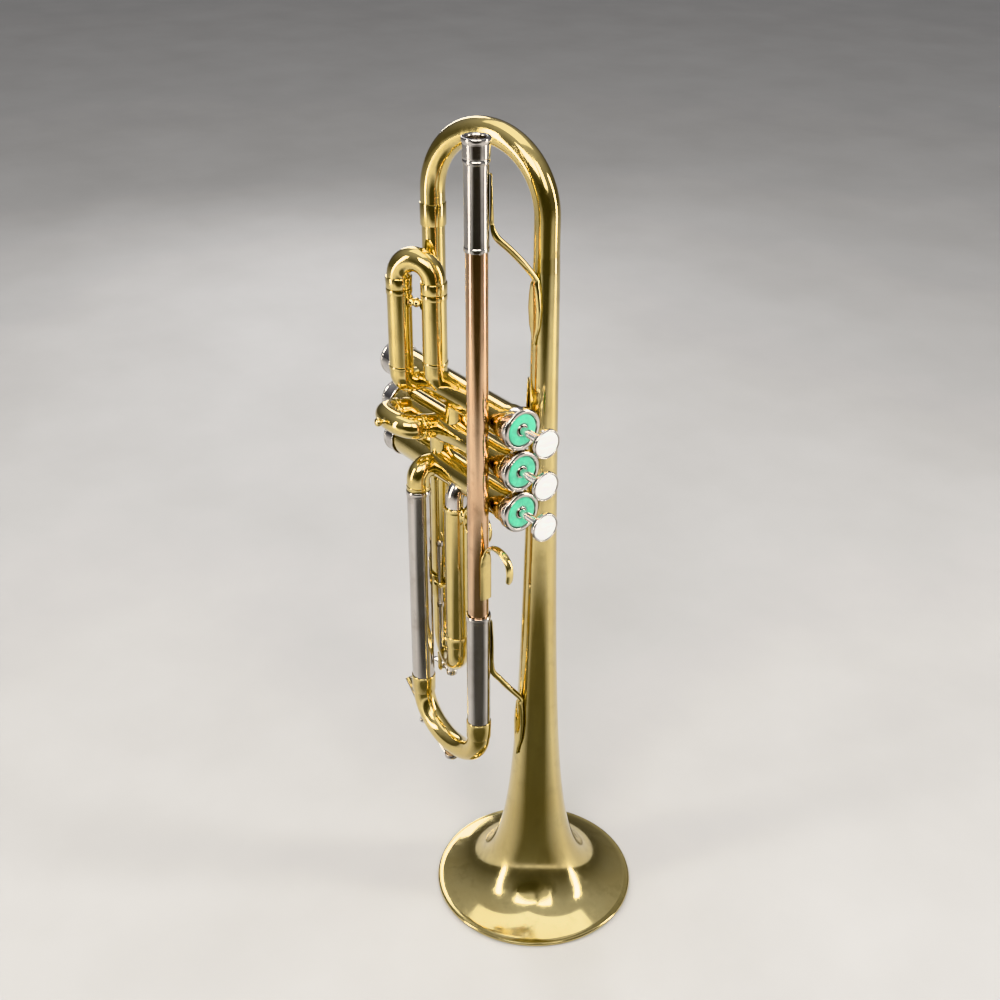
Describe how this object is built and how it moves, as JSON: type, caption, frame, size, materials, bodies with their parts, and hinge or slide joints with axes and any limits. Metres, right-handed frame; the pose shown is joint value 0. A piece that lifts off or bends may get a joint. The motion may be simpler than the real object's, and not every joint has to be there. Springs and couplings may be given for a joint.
{
  "type": "trumpet",
  "caption": "Piston-valve trumpet with sprung valves, four sliding tuning crooks, two water keys, a finger hook, a finger ring and a lyre holder.",
  "frame": {"origin": "on the plane of the bell rim, under the middle of the instrument's bounding box", "axes": "+Z from the bell rim up to the mouthpiece end, +X towards the finger buttons, -Y towards the leadpipe side"},
  "size_m": [0.173, 0.123, 0.4802],
  "materials": {
    "lacquered_brass": "polished, clear lacquer",
    "rose_brass": "polished, clear lacquer",
    "nickel_silver": "polished, lightly worn",
    "valve_steel": "satin",
    "green_felt": "pressed felt",
    "pearl": "polished pearl",
    "cork": "natural cork"
  },
  "bodies": {
    "trumpet_body": {"bell": "lacquered_brass", "bell_bow": "lacquered_brass", "bell_tail_tube": "lacquered_brass", "leadpipe": "rose_brass", "mouthpiece_receiver": "nickel_silver", "main_outer_upper": "nickel_silver", "main_outer_lower": "nickel_silver", "third_valve_elbow": "lacquered_brass", "valve_casing_1": "lacquered_brass", "valve_casing_2": "lacquered_brass", "valve_casing_3": "lacquered_brass", "bottom_cap_1": "nickel_silver", "bottom_cap_2": "nickel_silver", "bottom_cap_3": "nickel_silver", "top_cap_1": "nickel_silver", "top_cap_2": "nickel_silver", "top_cap_3": "nickel_silver", "cap_felt_1": "green_felt", "cap_felt_2": "green_felt", "cap_felt_3": "green_felt", "valve_guide_1": "nickel_silver", "valve_guide_2": "nickel_silver", "valve_guide_3": "nickel_silver", "valve_spring_1": "valve_steel", "valve_spring_2": "valve_steel", "valve_spring_3": "valve_steel", "knuckle_1_2": "lacquered_brass", "knuckle_2_3": "lacquered_brass", "first_outer_lower": "lacquered_brass", "first_outer_upper": "lacquered_brass", "first_slide_brace": "lacquered_brass", "second_outer_lower": "lacquered_brass", "second_outer_upper": "lacquered_brass", "third_outer_lower": "lacquered_brass", "third_inner_upper": "nickel_silver", "upper_brace": "lacquered_brass", "lower_brace": "lacquered_brass", "bell_saddle": "lacquered_brass", "finger_hook": "lacquered_brass", "lyre_holder": "lacquered_brass"},
    "valve_1": {"piston_1": "valve_steel", "finger_button_1": "nickel_silver", "button_pearl_1": "pearl"},
    "valve_2": {"piston_2": "valve_steel", "finger_button_2": "nickel_silver", "button_pearl_2": "pearl"},
    "valve_3": {"piston_3": "valve_steel", "finger_button_3": "nickel_silver", "button_pearl_3": "pearl"},
    "main_slide": {"main_slide_bow": "lacquered_brass", "water_key_saddle": "nickel_silver"},
    "water_key": {"water_key_lever": "nickel_silver", "water_key_cork": "cork"},
    "first_slide": {"first_slide_crook": "lacquered_brass"},
    "second_slide": {"second_slide_crook": "lacquered_brass"},
    "third_slide": {"third_slide_crook": "lacquered_brass", "third_slide_finger_ring": "lacquered_brass", "third_slide_stop_rod": "nickel_silver"},
    "third_water_key": {"third_water_key_lever": "nickel_silver"},
    "lyre_thumbscrew": {"lyre_screw": "nickel_silver"}
  },
  "joints": [
    {"name": "valve_1_press", "type": "slide", "parent": "trumpet_body", "child": "valve_1", "axis": [-1, 0, 0], "range_m": [0, 0.0155], "stiffness_N_per_m": 100, "springref_m": -0.01, "deforming": ["valve_spring_1"]},
    {"name": "valve_2_press", "type": "slide", "parent": "trumpet_body", "child": "valve_2", "axis": [-1, 0, 0], "range_m": [0, 0.0155], "stiffness_N_per_m": 100, "springref_m": -0.01, "deforming": ["valve_spring_2"]},
    {"name": "valve_3_press", "type": "slide", "parent": "trumpet_body", "child": "valve_3", "axis": [-1, 0, 0], "range_m": [0, 0.0155], "stiffness_N_per_m": 100, "springref_m": -0.01, "deforming": ["valve_spring_3"]},
    {"name": "main_slide_pull", "type": "slide", "parent": "trumpet_body", "child": "main_slide", "axis": [0, 0, -1], "range_m": [0, 0.05]},
    {"name": "first_slide_pull", "type": "slide", "parent": "trumpet_body", "child": "first_slide", "axis": [0, 0, 1], "range_m": [0, 0.028]},
    {"name": "second_slide_pull", "type": "slide", "parent": "trumpet_body", "child": "second_slide", "axis": [0, -0.9856, 0.1692], "range_m": [0, 0.004]},
    {"name": "third_slide_pull", "type": "slide", "parent": "trumpet_body", "child": "third_slide", "axis": [0, 0, -1], "range_m": [0, 0.025]},
    {"name": "water_key_press", "type": "hinge", "parent": "main_slide", "child": "water_key", "pos_m": [-0.03948, -0.037, 0.10362], "axis": [0, 1, 0], "range_deg": [0, 10], "stiffness_Nm_per_rad": 0.05, "springref_deg": -17.19},
    {"name": "third_water_key_press", "type": "hinge", "parent": "third_slide", "child": "third_water_key", "pos_m": [-0.03805, -0.0235, 0.1395], "axis": [0, 1, 0], "range_deg": [0, 12], "stiffness_Nm_per_rad": 0.02, "springref_deg": -17.19},
    {"name": "lyre_screw_turn", "type": "hinge", "parent": "trumpet_body", "child": "lyre_thumbscrew", "pos_m": [-0.0283, -0.02, 0.2088], "axis": [1, 0, 0], "continuous": true}
  ]
}
